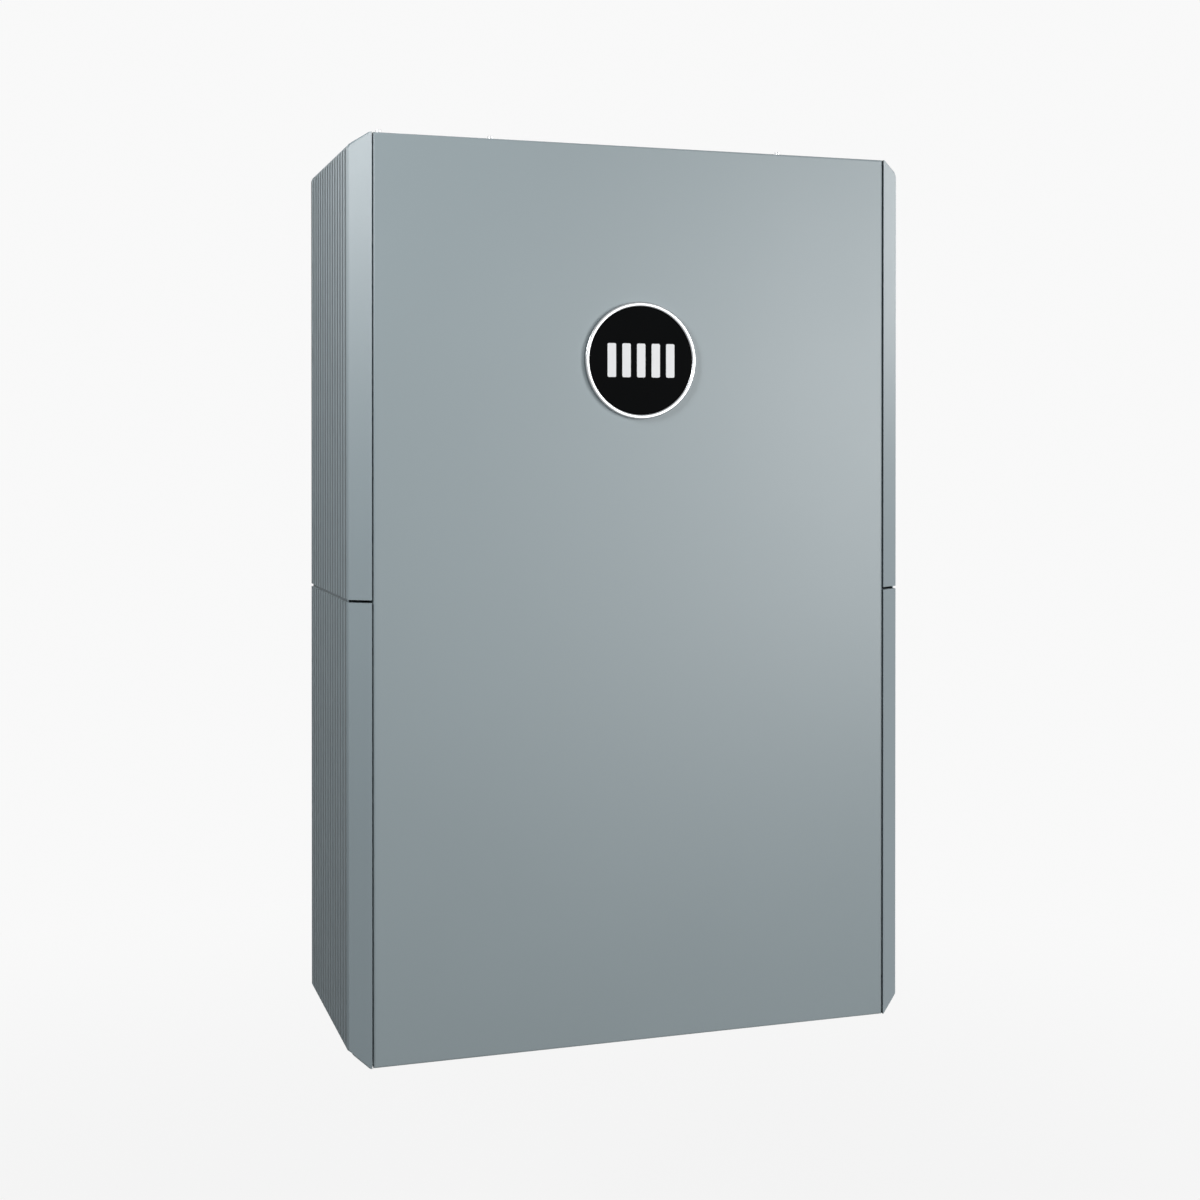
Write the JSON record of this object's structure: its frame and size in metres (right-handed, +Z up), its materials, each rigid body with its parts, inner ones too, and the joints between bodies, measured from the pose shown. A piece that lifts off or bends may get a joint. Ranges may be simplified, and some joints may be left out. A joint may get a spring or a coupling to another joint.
{
  "type": "wall battery unit",
  "caption": "Wall-hung home battery: flat grey front panel with a round badge gauge, ribbed clip-fitted side covers over wiring bays, sealed cell tub and hook-on wall bracket.",
  "frame": {"origin": "centre of the wall bracket's four holes, on the wall plane", "axes": "+Z up, +Y into the wall, -Y out of the front panel, +X to the right seen from the front"},
  "size_m": [0.587, 0.2675, 0.908],
  "materials": {
    "panel_paint": "satin",
    "cover_paint": "satin",
    "tub_paint": "satin",
    "zinc": "satin",
    "polished": "polished",
    "black_gloss": "gloss",
    "light_bar": "satin",
    "board_green": "satin",
    "black_part": "matte",
    "dark_rubber": "matte",
    "cell_case": "satin",
    "pad_grey": "matte",
    "raw_aluminium": "satin",
    "copper": "satin",
    "brass": "satin",
    "cable_red": "satin",
    "cable_black": "satin",
    "red_block": "satin",
    "fuse_body": "matte",
    "canister": "satin",
    "clear_window": "gloss",
    "lamp_green": "gloss",
    "button_steel": "satin",
    "rail_black": "matte"
  },
  "bodies": {
    "unit": {"front_panel": "panel_paint", "panel_screws": "zinc", "panel_brackets": "zinc", "tub": "tub_paint", "inner_lid": "tub_paint", "lid_gasket": "dark_rubber", "lid_screws": "zinc", "power_bay": "tub_paint", "signal_bay": "tub_paint", "cover_clips": "black_part", "badge_ring": "polished", "badge_disc": "black_gloss", "charge_gauge": "light_bar", "badge_light_board": "board_green", "battery_cells": "cell_case", "cell_pads": "pad_grey", "stack_end_plates": "raw_aluminium", "tie_rods": "zinc", "base_rails": "zinc", "cell_busbars": "raw_aluminium", "sense_boards": "board_green", "mid_shelf": "zinc", "heat_spreader": "raw_aluminium", "control_board": "board_green", "board_spacers": "brass", "board_components": "black_part", "insulating_blocks": "black_part", "main_fuse": "fuse_body", "current_shunt": "brass", "copper_links": "copper", "positive_cable": "cable_red", "negative_cable": "cable_black", "aerosol_canisters": "canister", "breaker_body": "black_part", "positive_terminal_block": "red_block", "negative_terminal_block": "black_part", "power_studs": "brass", "power_nuts": "zinc", "port_plate": "rail_black", "network_sockets": "black_part", "signal_board": "board_green", "panel_bezels": "black_part", "status_lamps": "lamp_green", "display_window": "clear_window", "entry_plates": "zinc", "cable_grommets": "dark_rubber", "lift_handles": "rail_black", "earth_terminal": "brass", "pressure_vent": "black_part", "wall_bracket": "zinc", "hanger_rail": "zinc", "bracket_bolts": "zinc", "wall_feet": "dark_rubber"},
    "upper_cover_left": {"upper_cover_left": "cover_paint"},
    "upper_cover_right": {"upper_cover_right": "cover_paint"},
    "lower_cover_left": {"lower_cover_left": "cover_paint"},
    "lower_cover_right": {"lower_cover_right": "cover_paint"},
    "breaker_lever": {"breaker_lever": "red_block"},
    "power_button": {"power_button": "button_steel"},
    "reset_button": {"reset_button": "red_block"}
  },
  "joints": [
    {"name": "upper_cover_left_pull_off", "type": "slide", "parent": "unit", "child": "upper_cover_left", "axis": [-1, 0, 0], "range_m": [0, 0.08]},
    {"name": "upper_cover_right_pull_off", "type": "slide", "parent": "unit", "child": "upper_cover_right", "axis": [1, 0, 0], "range_m": [0, 0.08]},
    {"name": "lower_cover_left_pull_off", "type": "slide", "parent": "unit", "child": "lower_cover_left", "axis": [-1, 0, 0], "range_m": [0, 0.08]},
    {"name": "lower_cover_right_pull_off", "type": "slide", "parent": "unit", "child": "lower_cover_right", "axis": [1, 0, 0], "range_m": [0, 0.08]},
    {"name": "breaker_lever_throw", "type": "hinge", "parent": "unit", "child": "breaker_lever", "pos_m": [0.259, -0.173, 0.02], "axis": [0, 1, 0], "range_deg": [0, 64]},
    {"name": "power_button_press", "type": "slide", "parent": "unit", "child": "power_button", "axis": [1, 0, 0], "range_m": [0, 0.0025], "stiffness_N_per_m": 400, "springref_m": -0.002},
    {"name": "reset_button_press", "type": "slide", "parent": "unit", "child": "reset_button", "axis": [1, 0, 0], "range_m": [0, 0.0012], "stiffness_N_per_m": 500, "springref_m": -0.001}
  ]
}
